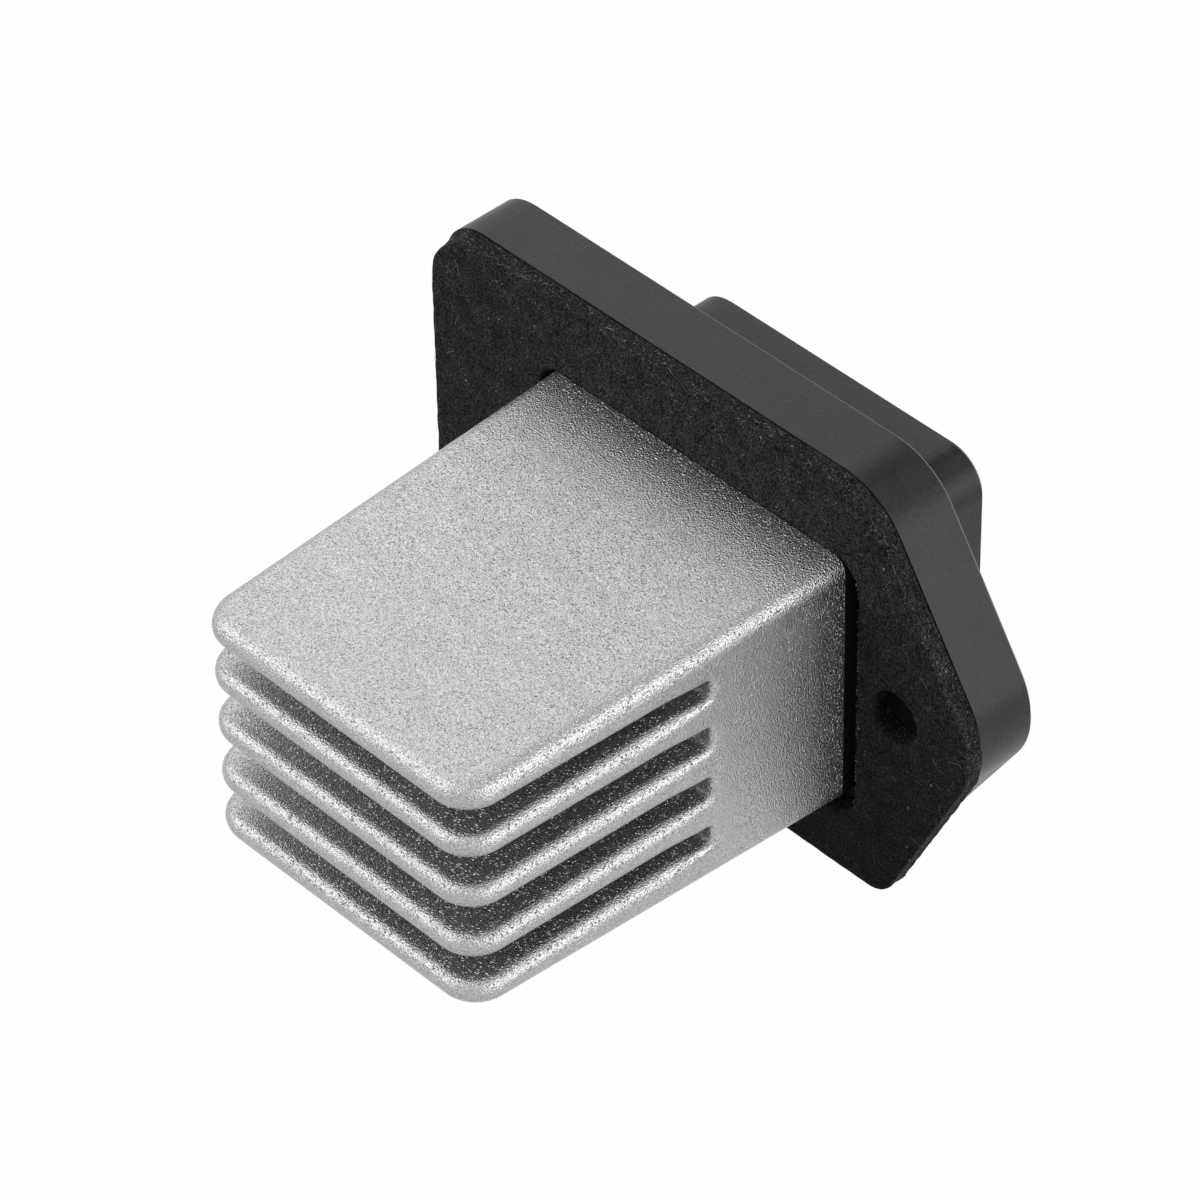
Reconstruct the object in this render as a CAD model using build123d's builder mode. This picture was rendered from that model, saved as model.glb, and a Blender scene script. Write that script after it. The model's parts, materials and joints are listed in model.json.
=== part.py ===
from build123d import *
import os
from math import cos, hypot, radians, tan

# Blower motor resistor: finned heat sink, flanged housing, foam gasket and the electronics between them.
# The frame: X runs along the flange to the pointed ear, Y to the plug side, Z across the fins.
# The origin lies between the two mounting holes, on the face of the flange that takes the gasket.

os.makedirs("parts", exist_ok=True)

# Flange and ear
flange_half_height = 21.5
flange_left = 33.5
flange_thickness = 6.4
flange_edge_chamfer = 0.35
flange_left_corner = 5.0
flange_top_corner = 8.0
flange_bottom_corner = 5.0
hole_x = 24.2
hole_radius = 2.5
ear_radius = 8.3
ear_slant = 0.64

# Hollow rear of the flange
rim_wall = 1.8
front_wall = 2.6
core_margin = 1.5
screw_boss_radius = 4.8
rib_thickness = 1.2

# Foam gasket
gasket_thickness = 2.0
gasket_hole_radius = 3.0
gasket_side_gap = 1.9
gasket_top_gap = 0.5
gasket_bottom_gap = 1.4
gasket_window_radius = 4.5
gasket_low_slant = 0.5
gasket_low_corner = 3.0

# Heat sink
sink_width = 36.4
sink_height = 27.6
sink_length = 42.1
sink_side_taper = 1.5
sink_top_taper = 1.4
sink_edge_chamfer = 0.8
fin_corner_radius = 3.6
fin_depth = 27.0
outer_fin_thickness = 2.675
fin_edge_chamfer = 0.5
inner_gap = 3.3
outer_gap = 2.9
gap_draft = 0.9
gap_root_chamfer = 0.4
slot_overrun = 1.0
seam_angle = 25.0
root_margin = 0.1

# Rear block of the housing
block_left = 16.4
block_right = 18.4
block_half_height = 15.2
block_depth = 8.3
block_corner = 4.0
block_wall = 1.8
block_core_depth = 6.3
block_web = 2.4

# Boss and chamber behind the heat sink
boss_corner = 1.5
chamber_width = 31.8
chamber_low_margin = 1.2
floor_gap = 1.1
floor_thickness = 1.2

# Plug socket
socket_height = 23.6
socket_corner = 1.5
key_width = 1.1
key_height = 1.0
key_spacing = 6.0
key_setback = 1.0
latch_width = 5.0
latch_height = 0.8
latch_length = 2.4
latch_setback = 2.2

# Screws that hold the housing on the heat sink
screw_x = 12.0
screw_radius = 1.45
screw_length = 9.5
screw_head_radius = 2.75
screw_head_height = 2.2
screw_grip = 4.0
well_clearance = 0.25
post_wall = 1.4
shank_clearance = 0.15
thread_clearance = 0.05
screw_head_rim = 0.5
pilot_extra = 1.0
recess_width = 0.7
recess_length = 2.8
recess_depth = 1.1

# Power transistor
pad_thickness = 0.2
pad_margin = 0.4
tab_width = 10.0
tab_length = 15.6
tab_thickness = 1.3
tab_hole_radius = 1.85
tab_hole_inset = 2.8
package_length = 9.2
package_thickness = 4.5
package_chamfer = 0.4
tab_top_gap = 0.3
lead_pitch = 2.54
lead_width = 0.8
lead_thickness = 0.45
lead_height = 2.7
lead_drop = 1.6
lead_out = 0.6
lead_shoulder_gap = 0.275
bush_flange_radius = 3.0
bush_flange_thickness = 0.6
bush_clearance = 0.05
bush_bore_radius = 1.55
tab_screw_radius = 1.5
tab_screw_length = 7.0
tab_screw_head_radius = 2.75
tab_screw_head_height = 2.0
tab_screw_head_rim = 0.5

# Circuit board
board_gap = 0.8
board_thickness = 1.6
board_clearance = 0.2
post_clearance = 0.3
tail_clearance = 0.1

# Blades of the socket
blade_thickness = 0.8
blade_setback = 0.8
blade_chamfer = 0.7
blade_clearance = 0.05
blade_shoulder = 0.5
power_width = 6.3
power_x = 5.6
power_z = 3.5
power_tail_width = 1.2
power_tail_spacing = 3.8
signal_width = 2.8
signal_tail_width = 1.2
tail_out = 0.3

# Board components; a place is X, and the distance from the board's upper edge, or lower edge if negative
can_radius = 2.0
can_height = 4.6
can_crimp_height = 1.2
can_crimp_depth = 0.15
can_base_width = 4.3
can_base_thickness = 0.6
can_base_cut = 0.55
can_place = (-10.6, 3.3)
diode_length = 4.6
diode_width = 3.6
diode_height = 2.3
diode_draft = 5.0
diode_lead_width = 2.0
diode_lead_thickness = 0.3
diode_lead_foot = 0.7
diode_lead_out = 0.35
diode_place = (9.2, 3.1)
chip_width = 3.9
chip_length = 4.9
chip_height = 1.5
chip_draft = 4.0
chip_standoff = 0.15
chip_lead_reach = 1.05
chip_lead_pitch = 1.27
chip_lead_width = 0.42
chip_lead_thickness = 0.22
chip_lead_count = 4
chip_place = (-11.4, -3.4)
shunt_length = 6.3
shunt_width = 3.2
shunt_height = 1.5
shunt_thickness = 0.4
shunt_foot = 1.3
shunt_place = (11.2, -2.0)
cap_share = 0.17
cap_step = 0.05
ceramic_size = (3.2, 2.5, 1.6)
ceramic_places = [(10.2, -5.3, 0), (14.1, 3.1, 90)]
resistor_size = (3.2, 1.6, 0.6)
resistor_places = [(-2.8, -1.0, 0), (2.8, -1.0, 0), (-14.4, 3.1, 90), (-6.8, 1.9, 90)]

# Levels along Y that the pieces share
seat_y = -gasket_thickness
rear_y = flange_thickness + block_depth
tab_front_y = seat_y + pad_thickness
tab_back_y = tab_front_y + tab_thickness
package_back_y = tab_front_y + package_thickness
board_front_y = package_back_y + board_gap
board_back_y = board_front_y + board_thickness
floor_front_y = board_back_y + floor_gap
floor_back_y = floor_front_y + floor_thickness
well_seat_y = seat_y + screw_grip

# Sizes that follow from the driving ones
well_radius = screw_head_radius + well_clearance
post_radius = well_radius + post_wall
socket_width = 2 * (screw_x - post_radius)
lead_room = tab_top_gap + tab_length + lead_drop + lead_thickness / 2 + lead_shoulder_gap
chamber_height = lead_room + signal_width + 2 * blade_shoulder + chamber_low_margin
chamber_top = chamber_height / 2
signal_z = chamber_low_margin + blade_shoulder + signal_width / 2 - chamber_top
board_width = chamber_width - 2 * board_clearance
board_height = chamber_height - 2 * board_clearance
tab_top_z = chamber_top - tab_top_gap
package_low = tab_top_z - tab_length
tab_hole_z = tab_top_z - tab_hole_inset
block_width = block_left + block_right
block_centre = (block_right - block_left) / 2
ear_tip = hole_x + ear_radius * hypot(1, ear_slant)


def facing_front(y):
    """A plane at depth y whose normal points to the fins; its own x and y are X and Z."""
    return Plane(origin=(0, y, 0), x_dir=(1, 0, 0), z_dir=(0, -1, 0))


def flange_outline(low_slant, low_corner):
    """The five-sided flange, with a round ear about the mounting hole."""
    height = flange_half_height
    with BuildSketch() as outline:
        with BuildLine():
            Polyline(
                (-flange_left, height),
                (ear_tip - ear_slant * height, height),
                (ear_tip, 0),
                (ear_tip - low_slant * height, -height),
                (-flange_left, -height),
                close=True,
            )
        make_face()
        fillet(outline.vertices().sort_by(Axis.X)[-1], ear_radius)
        fillet(outline.vertices().group_by(Axis.Y)[-1].sort_by(Axis.X)[-1], flange_top_corner)
        fillet(outline.vertices().group_by(Axis.Y)[0].sort_by(Axis.X)[-1], low_corner)
        fillet(outline.vertices().group_by(Axis.X)[0], flange_left_corner)
    return outline.sketch


def from_edge(inset):
    """The height on the board at an inset from its upper edge, or from its lower edge if negative."""
    edge = board_height / 2
    return edge - inset if inset > 0 else -edge - inset


def runs_along(edge, direction):
    """True where a straight edge keeps within the seam angle of a direction."""
    if edge.geom_type != GeomType.LINE:
        return False
    return abs(edge.tangent_at(0.5).dot(direction)) > cos(radians(seam_angle))


# Heat sink: the plan outline crossed with the side outline, then four slots that leave five fins
tip_y = seat_y - sink_length
slot_root_y = tip_y + fin_depth
base_x = sink_width / 2
tip_x = base_x - sink_side_taper
base_z = sink_height / 2
tip_z = base_z - sink_top_taper
narrowing = fin_depth * tan(radians(gap_draft))
fin_thickness = 2 * (tip_z - outer_fin_thickness - outer_gap - inner_gap) / 3
slot_steps = [
    ((fin_thickness + inner_gap) / 2, inner_gap),
    (tip_z - outer_fin_thickness - outer_gap / 2, outer_gap),
]
with BuildPart() as heat_sink:
    with BuildSketch(Plane.XY) as plan:
        with BuildLine():
            Polyline((-base_x, seat_y), (-tip_x, tip_y), (tip_x, tip_y), (base_x, seat_y), close=True)
        make_face()
        fillet(plan.vertices().group_by(Axis.Y)[0], fin_corner_radius)
    extrude(amount=base_z, both=True)
    with BuildSketch(Plane.YZ):
        with BuildLine():
            Polyline((seat_y, -base_z), (tip_y, -tip_z), (tip_y, tip_z), (seat_y, base_z), close=True)
        make_face()
    extrude(amount=base_x, both=True, mode=Mode.INTERSECT)
    for level in (-1, 0):
        lid = heat_sink.faces().sort_by(Axis.Z)[level]
        chamfer(lid.edges().sort_by(Axis.Y)[:-1], sink_edge_chamfer)
    for side in (-1, 1):
        for centre, width in slot_steps:
            root = width / 2 - narrowing
            with BuildSketch(Plane.YZ) as slot:
                with BuildLine():
                    Polyline(
                        (slot_root_y, side * centre + root),
                        (tip_y, side * centre + width / 2),
                        (tip_y - slot_overrun, side * centre + width / 2),
                        (tip_y - slot_overrun, side * centre - width / 2),
                        (tip_y, side * centre - width / 2),
                        (slot_root_y, side * centre - root),
                        close=True,
                    )
                make_face()
                chamfer(slot.vertices().group_by(Axis.X)[-1], gap_root_chamfer)
            extrude(amount=base_x, both=True, mode=Mode.SUBTRACT)
    mouths = [
        edge
        for edge in heat_sink.edges()
        if abs(edge.position_at(0.5).Z) < tip_z - sink_edge_chamfer
        and edge.position_at(0.5).Y < slot_root_y + root_margin
        and not (runs_along(edge, Vector(1, 0, 0)) and edge.position_at(0.5).Y > tip_y + fin_corner_radius)
        and not (runs_along(edge, Vector(0, 0, 1)) and edge.position_at(0.5).Y < tip_y + fin_corner_radius)
    ]
    chamfer(mouths, fin_edge_chamfer)
    with BuildSketch(facing_front(seat_y)):
        with Locations((-screw_x, 0), (screw_x, 0)):
            Circle(screw_radius + thread_clearance)
    extrude(amount=screw_length - screw_grip + pilot_extra, mode=Mode.SUBTRACT)
    with BuildSketch(facing_front(seat_y)):
        with Locations((0, tab_hole_z)):
            Circle(tab_screw_radius + thread_clearance)
    extrude(amount=tab_screw_length, mode=Mode.SUBTRACT)
heat_sink.part.label = "heat_sink"
export_step(heat_sink.part, "parts/heat_sink.step")

# Foam gasket: the flange's outline, cut larger at the lower right, with a window for the heat sink
window_top = sink_height / 2 + gasket_top_gap
window_bottom = sink_height / 2 + gasket_bottom_gap
with BuildPart() as foam_gasket:
    with BuildSketch(facing_front(0)):
        add(flange_outline(gasket_low_slant, gasket_low_corner))
    extrude(amount=gasket_thickness)
    with BuildSketch(facing_front(0)):
        with Locations((0, (window_top - window_bottom) / 2)):
            RectangleRounded(
                sink_width + 2 * gasket_side_gap, window_top + window_bottom, gasket_window_radius
            )
        with Locations((-hole_x, 0), (hole_x, 0)):
            Circle(gasket_hole_radius)
    extrude(amount=gasket_thickness, mode=Mode.SUBTRACT)
foam_gasket.part.label = "foam_gasket"
export_step(foam_gasket.part, "parts/foam_gasket.step")

# Blades: name, x, z, width and the offsets of the solder tails
blades = [
    ("power_blade_1", -power_x, power_z, power_width, power_tail_width),
    ("power_blade_2", power_x, power_z, power_width, power_tail_width),
    ("signal_blade_1", -power_x, signal_z, signal_width, signal_tail_width),
    ("signal_blade_2", 0, signal_z, signal_width, signal_tail_width),
    ("signal_blade_3", power_x, signal_z, signal_width, signal_tail_width),
]


def tail_offsets(width):
    """Two solder tails under a wide blade, one under a narrow blade."""
    if width > power_tail_spacing:
        return [-power_tail_spacing / 2, power_tail_spacing / 2]
    return [0]


# Housing: flange, boss, rear block, chamber for the electronics and plug socket in one moulding
with BuildPart() as housing:
    with BuildSketch(facing_front(flange_thickness)):
        add(flange_outline(ear_slant, flange_bottom_corner))
    extrude(amount=flange_thickness)
    back_rim = housing.faces().sort_by(Axis.Y)[-1].edges()
    chamfer(back_rim, flange_edge_chamfer)
    with BuildSketch(facing_front(0)):
        RectangleRounded(sink_width, sink_height, boss_corner)
    extrude(amount=gasket_thickness)
    with BuildSketch(facing_front(rear_y)):
        with Locations((block_centre, 0)):
            RectangleRounded(block_width, 2 * block_half_height, block_corner)
    extrude(amount=block_depth)
    block_rim = housing.faces().sort_by(Axis.Y)[-1].edges()
    chamfer(block_rim, flange_edge_chamfer)
    # The flange is hollow at the rear, round the block, with bosses and ribs at the mounting holes
    with BuildSketch(facing_front(flange_thickness)):
        add(flange_outline(ear_slant, flange_bottom_corner))
        offset(amount=-rim_wall)
        with Locations((block_centre, 0)):
            Rectangle(
                block_width + 2 * core_margin,
                2 * (block_half_height + core_margin),
                mode=Mode.SUBTRACT,
            )
        with Locations((-hole_x, 0), (hole_x, 0)):
            Circle(screw_boss_radius, mode=Mode.SUBTRACT)
            Rectangle(rib_thickness, 2 * flange_half_height, mode=Mode.SUBTRACT)
        Rectangle(2 * ear_tip, rib_thickness, mode=Mode.SUBTRACT)
        with Locations((block_centre, 0)):
            Rectangle(rib_thickness, 2 * flange_half_height, mode=Mode.SUBTRACT)
    extrude(amount=flange_thickness - front_wall, mode=Mode.SUBTRACT)
    # Chamber for the electronics, open to the heat sink, with a post round each screw well
    with BuildSketch(facing_front(floor_front_y)):
        Rectangle(chamber_width, chamber_height)
        with Locations((-screw_x, 0), (screw_x, 0)):
            Circle(post_radius, mode=Mode.SUBTRACT)
    extrude(amount=floor_front_y - seat_y, mode=Mode.SUBTRACT)
    # Plug socket with two keys on its upper wall and a latch nose on its lower wall
    with BuildSketch(facing_front(rear_y)):
        RectangleRounded(socket_width, socket_height, socket_corner)
    extrude(amount=rear_y - floor_back_y, mode=Mode.SUBTRACT)
    with BuildSketch(facing_front(rear_y - key_setback)):
        with Locations(
            (-key_spacing / 2, (socket_height - key_height) / 2),
            (key_spacing / 2, (socket_height - key_height) / 2),
        ):
            Rectangle(key_width, key_height)
    extrude(amount=rear_y - key_setback - floor_back_y)
    with BuildSketch(Plane.YZ):
        with BuildLine():
            Polyline(
                (rear_y - latch_setback, -socket_height / 2),
                (rear_y - latch_setback - latch_length, -socket_height / 2 + latch_height),
                (rear_y - latch_setback - latch_length, -socket_height / 2),
                close=True,
            )
        make_face()
    extrude(amount=latch_width / 2, both=True)
    # Wells for the two screws, and pockets that keep the block's walls even
    with BuildSketch(facing_front(rear_y)):
        with Locations((-screw_x, 0), (screw_x, 0)):
            Circle(well_radius)
    extrude(amount=rear_y - well_seat_y, mode=Mode.SUBTRACT)
    with BuildSketch(facing_front(well_seat_y)):
        with Locations((-screw_x, 0), (screw_x, 0)):
            Circle(screw_radius + shank_clearance)
    extrude(amount=screw_grip, mode=Mode.SUBTRACT)
    pocket_inner = socket_width / 2 + post_wall
    pocket_height = 2 * (block_half_height - block_wall)
    with BuildSketch(facing_front(rear_y)):
        for side, edge in ((-1, block_left), (1, block_right)):
            pocket_width = edge - block_wall - pocket_inner
            with Locations((side * (pocket_inner + pocket_width / 2), 0)):
                Rectangle(pocket_width, pocket_height)
            with Locations((side * screw_x, 0)):
                Circle(post_radius, mode=Mode.SUBTRACT)
                Rectangle(4 * post_radius, block_web, mode=Mode.SUBTRACT)
    extrude(amount=block_core_depth, mode=Mode.SUBTRACT)
    # Slots in the socket's floor for the blades
    with BuildSketch(facing_front(floor_back_y)):
        for name, x, z, width, tail_width in blades:
            with Locations((x, z)):
                Rectangle(blade_thickness + 2 * blade_clearance, width + 2 * blade_clearance)
    extrude(amount=floor_thickness, mode=Mode.SUBTRACT)
    # Mounting holes
    with BuildSketch(facing_front(flange_thickness)):
        with Locations((-hole_x, 0), (hole_x, 0)):
            Circle(hole_radius)
    extrude(amount=flange_thickness, mode=Mode.SUBTRACT)
housing.part.label = "housing"
export_step(housing.part, "parts/housing.step")

# Circuit board with notches round the posts, and holes for the tails and the transistor's leads
lead_back_z = package_low - lead_drop
with BuildPart() as circuit_board:
    with BuildSketch(facing_front(board_back_y)):
        Rectangle(board_width, board_height)
        with Locations((-screw_x, 0), (screw_x, 0)):
            Circle(post_radius + post_clearance, mode=Mode.SUBTRACT)
        for name, x, z, width, tail_width in blades:
            for tail in tail_offsets(width):
                with Locations((x, z + tail)):
                    Rectangle(
                        blade_thickness + 2 * tail_clearance,
                        tail_width + 2 * tail_clearance,
                        mode=Mode.SUBTRACT,
                    )
        with Locations((-lead_pitch, lead_back_z), (0, lead_back_z), (lead_pitch, lead_back_z)):
            Rectangle(
                lead_width + 2 * tail_clearance,
                lead_thickness + 2 * tail_clearance,
                mode=Mode.SUBTRACT,
            )
    extrude(amount=board_thickness)
circuit_board.part.label = "circuit_board"
export_step(circuit_board.part, "parts/circuit_board.step")

# Blades: a shoulder between the board and the socket's floor, tails through the board
blade_tip_y = rear_y - blade_setback
for name, x, z, width, tail_width in blades:
    with BuildPart() as blade:
        with BuildSketch(Plane.YZ.offset(x - blade_thickness / 2)):
            with Locations(((floor_front_y + blade_tip_y) / 2, z)):
                Rectangle(blade_tip_y - floor_front_y, width)
            with Locations(((board_back_y + floor_front_y) / 2, z)):
                Rectangle(floor_gap, width + 2 * blade_shoulder)
            for tail in tail_offsets(width):
                with Locations(((board_back_y + board_front_y - tail_out) / 2, z + tail)):
                    Rectangle(board_thickness + tail_out, tail_width)
        extrude(amount=blade_thickness)
        tip_edges = blade.faces().sort_by(Axis.Y)[-1].edges().filter_by(Axis.X)
        chamfer(tip_edges, blade_chamfer)
    blade.part.label = name
    export_step(blade.part, f"parts/{name}.step")

# Two screws that hold the housing on the heat sink, heads down in their wells
with BuildPart() as housing_screws:
    for side in (-1, 1):
        with BuildSketch(facing_front(well_seat_y + screw_head_height)):
            with Locations((side * screw_x, 0)):
                Circle(screw_head_radius)
        extrude(amount=screw_head_height)
        with BuildSketch(facing_front(well_seat_y)):
            with Locations((side * screw_x, 0)):
                Circle(screw_radius)
        extrude(amount=screw_length)
        with BuildSketch(facing_front(well_seat_y + screw_head_height)):
            with Locations((side * screw_x, 0)):
                Rectangle(recess_length, recess_width)
                Rectangle(recess_width, recess_length)
        extrude(amount=recess_depth, mode=Mode.SUBTRACT)
    head_rims = housing_screws.faces().filter_by(GeomType.PLANE).sort_by(Axis.Y)[-2:]
    outer_rims = head_rims.edges().filter_by(GeomType.CIRCLE)
    chamfer(outer_rims, screw_head_rim)
housing_screws.part.label = "housing_screws"
export_step(housing_screws.part, "parts/housing_screws.step")

# Thermal pad on the heat sink, a little wider than the tab
tab_middle_z = package_low + tab_length / 2
with BuildPart() as thermal_pad:
    with BuildSketch(facing_front(tab_front_y)):
        with Locations((0, tab_middle_z)):
            Rectangle(tab_width + 2 * pad_margin, tab_length)
        with Locations((0, tab_hole_z)):
            Circle(tab_hole_radius, mode=Mode.SUBTRACT)
    extrude(amount=pad_thickness)
thermal_pad.part.label = "thermal_pad"
export_step(thermal_pad.part, "parts/thermal_pad.step")

# Power transistor: metal tab, moulded body and three leads bent back through the board
with BuildPart() as transistor_tab:
    with BuildSketch(facing_front(tab_back_y)):
        with Locations((0, tab_middle_z)):
            Rectangle(tab_width, tab_length)
        with Locations((0, tab_hole_z)):
            Circle(tab_hole_radius, mode=Mode.SUBTRACT)
    extrude(amount=tab_thickness)
transistor_tab.part.label = "transistor_tab"
export_step(transistor_tab.part, "parts/transistor_tab.step")

lead_y = tab_front_y + lead_height
with BuildPart() as transistor_body:
    with BuildSketch(facing_front(package_back_y)):
        with Locations((0, package_low + package_length / 2)):
            Rectangle(tab_width, package_length)
    extrude(amount=package_back_y - tab_back_y)
    back_edges = transistor_body.faces().sort_by(Axis.Y)[-1].edges()
    chamfer(back_edges, package_chamfer)
transistor_body.part.label = "transistor_body"
export_step(transistor_body.part, "parts/transistor_body.step")

lead_end_y = board_back_y + lead_out
for index, x in enumerate((-lead_pitch, 0, lead_pitch), start=1):
    with BuildPart() as transistor_lead:
        with BuildSketch(Plane.YZ.offset(x - lead_width / 2)):
            with BuildLine():
                Polyline((lead_y, package_low), (lead_y, lead_back_z), (lead_end_y, lead_back_z))
            trace(line_width=lead_thickness)
        extrude(amount=lead_width)
    transistor_lead.part.label = f"transistor_lead_{index}"
    export_step(transistor_lead.part, f"parts/transistor_lead_{index}.step")

# Insulating bush and screw through the tab
with BuildPart() as insulating_bush:
    with BuildSketch(facing_front(tab_back_y + bush_flange_thickness)):
        with Locations((0, tab_hole_z)):
            Circle(bush_flange_radius)
    extrude(amount=bush_flange_thickness)
    with BuildSketch(facing_front(tab_back_y)):
        with Locations((0, tab_hole_z)):
            Circle(tab_hole_radius - bush_clearance)
    extrude(amount=tab_thickness)
    with BuildSketch(facing_front(tab_back_y + bush_flange_thickness)):
        with Locations((0, tab_hole_z)):
            Circle(bush_bore_radius)
    extrude(amount=bush_flange_thickness + tab_thickness, mode=Mode.SUBTRACT)
insulating_bush.part.label = "insulating_bush"
export_step(insulating_bush.part, "parts/insulating_bush.step")

tab_screw_seat_y = tab_back_y + bush_flange_thickness
with BuildPart() as tab_screw:
    with BuildSketch(facing_front(tab_screw_seat_y + tab_screw_head_height)):
        with Locations((0, tab_hole_z)):
            Circle(tab_screw_head_radius)
    extrude(amount=tab_screw_head_height)
    top_rim = tab_screw.faces().sort_by(Axis.Y)[-1].edges()
    chamfer(top_rim, tab_screw_head_rim)
    with BuildSketch(facing_front(tab_screw_seat_y)):
        with Locations((0, tab_hole_z)):
            Circle(tab_screw_radius)
    extrude(amount=tab_screw_length)
    with BuildSketch(facing_front(tab_screw_seat_y + tab_screw_head_height)):
        with Locations((0, tab_hole_z)):
            Rectangle(recess_length, recess_width)
            Rectangle(recess_width, recess_length)
    extrude(amount=recess_depth, mode=Mode.SUBTRACT)
tab_screw.part.label = "tab_screw"
export_step(tab_screw.part, "parts/tab_screw.step")

# Electrolytic capacitor: a crimped can on a moulded base with two cut corners
can_x = can_place[0]
can_z = from_edge(can_place[1])
with BuildPart() as capacitor_base:
    with BuildSketch(facing_front(board_front_y)):
        with Locations((can_x, can_z)):
            Rectangle(can_base_width, can_base_width)
    extrude(amount=can_base_thickness)
    base_corners = capacitor_base.edges().filter_by(Axis.Y).group_by(Axis.Z)[-1]
    chamfer(base_corners, can_base_cut)
capacitor_base.part.label = "capacitor_base"
export_step(capacitor_base.part, "parts/capacitor_base.step")

can_foot_y = board_front_y - can_base_thickness
with BuildPart() as capacitor_can:
    with BuildSketch(Plane(origin=(can_x, 0, can_z), x_dir=(1, 0, 0), z_dir=(0, 0, 1))):
        with BuildLine():
            Polyline(
                (0, can_foot_y),
                (can_radius, can_foot_y),
                (can_radius, can_foot_y - can_crimp_height + can_crimp_depth),
                (can_radius - can_crimp_depth, can_foot_y - can_crimp_height),
                (can_radius, can_foot_y - can_crimp_height - can_crimp_depth),
                (can_radius, can_foot_y - can_height + can_crimp_depth),
                (can_radius - can_crimp_depth, can_foot_y - can_height),
                (0, can_foot_y - can_height),
                close=True,
            )
        make_face()
    revolve(axis=Axis((can_x, 0, can_z), (0, 1, 0)))
capacitor_can.part.label = "capacitor_can"
export_step(capacitor_can.part, "parts/capacitor_can.step")

# Suppressor diode: moulded body and two leads folded under its ends
diode_x = diode_place[0]
diode_z = from_edge(diode_place[1])
diode_body_back_y = board_front_y - diode_lead_thickness
with BuildPart() as suppressor_diode:
    with BuildSketch(facing_front(diode_body_back_y)):
        with Locations((diode_x, diode_z)):
            Rectangle(diode_length, diode_width)
    extrude(amount=diode_height - diode_lead_thickness, taper=diode_draft)
suppressor_diode.part.label = "suppressor_diode"
export_step(suppressor_diode.part, "parts/suppressor_diode.step")

with BuildPart() as diode_leads:
    with BuildSketch(facing_front(board_front_y)):
        for side in (-1, 1):
            lead_middle_x = diode_x + side * (diode_length + diode_lead_out - diode_lead_foot) / 2
            with Locations((lead_middle_x, diode_z)):
                Rectangle(diode_lead_foot + diode_lead_out, diode_lead_width)
    extrude(amount=diode_lead_thickness)
diode_leads.part.label = "diode_leads"
export_step(diode_leads.part, "parts/diode_leads.step")

# Driver chip: moulded body and eight bent leads
chip_x = chip_place[0]
chip_z = from_edge(chip_place[1])
chip_back_y = board_front_y - chip_standoff
with BuildPart() as driver_chip:
    with BuildSketch(facing_front(chip_back_y)):
        with Locations((chip_x, chip_z)):
            Rectangle(chip_width, chip_length)
    extrude(amount=chip_height, taper=chip_draft)
driver_chip.part.label = "driver_chip"
export_step(driver_chip.part, "parts/driver_chip.step")

chip_lead_span = (chip_lead_count - 1) * chip_lead_pitch
lead_root_y = chip_back_y - chip_height / 2
lead_foot_y = board_front_y - chip_lead_thickness / 2
with BuildPart() as driver_chip_leads:
    for side in (-1, 1):
        root_x = chip_x + side * chip_width / 2
        knee_x = root_x + side * chip_lead_reach / 2
        toe_x = root_x + side * chip_lead_reach
        with BuildSketch(Plane.XY.offset(chip_z - chip_lead_span / 2 - chip_lead_width / 2)):
            with BuildLine():
                Polyline(
                    (root_x, lead_root_y),
                    (knee_x, lead_root_y),
                    (knee_x, lead_foot_y),
                    (toe_x, lead_foot_y),
                )
            trace(line_width=chip_lead_thickness)
        extrude(amount=chip_lead_width)
    first_row = driver_chip_leads.part
    for step in range(1, chip_lead_count):
        add(first_row.moved(Location((0, 0, step * chip_lead_pitch))))
driver_chip_leads.part.label = "driver_chip_leads"
export_step(driver_chip_leads.part, "parts/driver_chip_leads.step")

# Shunt: a strip bridged over the board on two feet
shunt_x = shunt_place[0]
shunt_z = from_edge(shunt_place[1])
with BuildPart() as shunt_strip:
    with BuildSketch(Plane.XY.offset(shunt_z - shunt_width / 2)):
        with BuildLine():
            inner = shunt_length / 2 - shunt_foot
            low = board_front_y - shunt_thickness / 2
            high = board_front_y - shunt_height + shunt_thickness / 2
            Polyline(
                (shunt_x - shunt_length / 2, low),
                (shunt_x - inner, low),
                (shunt_x - inner, high),
                (shunt_x + inner, high),
                (shunt_x + inner, low),
                (shunt_x + shunt_length / 2, low),
            )
        trace(line_width=shunt_thickness)
    extrude(amount=shunt_width)
shunt_strip.part.label = "shunt_strip"
export_step(shunt_strip.part, "parts/shunt_strip.step")

# Ceramic capacitors and chip resistors, each with a raised metal cap at both ends
chips = [
    ("ceramic_capacitor", ceramic_size, ceramic_places),
    ("chip_resistor", resistor_size, resistor_places),
]
for name, (length, width, height), places in chips:
    for index, (x, inset, turn) in enumerate(places, start=1):
        with BuildPart() as chip:
            with BuildSketch(facing_front(board_front_y)):
                with Locations(Location((x, from_edge(inset)), turn)):
                    Rectangle(length, width - 2 * cap_step)
            extrude(amount=height - cap_step)
            cap_length = length * cap_share
            with BuildSketch(facing_front(board_front_y)):
                with Locations(Location((x, from_edge(inset)), turn)):
                    with GridLocations(length - cap_length, 0, 2, 1):
                        Rectangle(cap_length, width)
            extrude(amount=height)
        chip.part.label = f"{name}_{index}"
        export_step(chip.part, f"parts/{name}_{index}.step")
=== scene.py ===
import json
import math

import bmesh
import bpy
import numpy as np
from mathutils import Matrix, Vector
from mathutils.geometry import delaunay_2d_cdt


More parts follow.
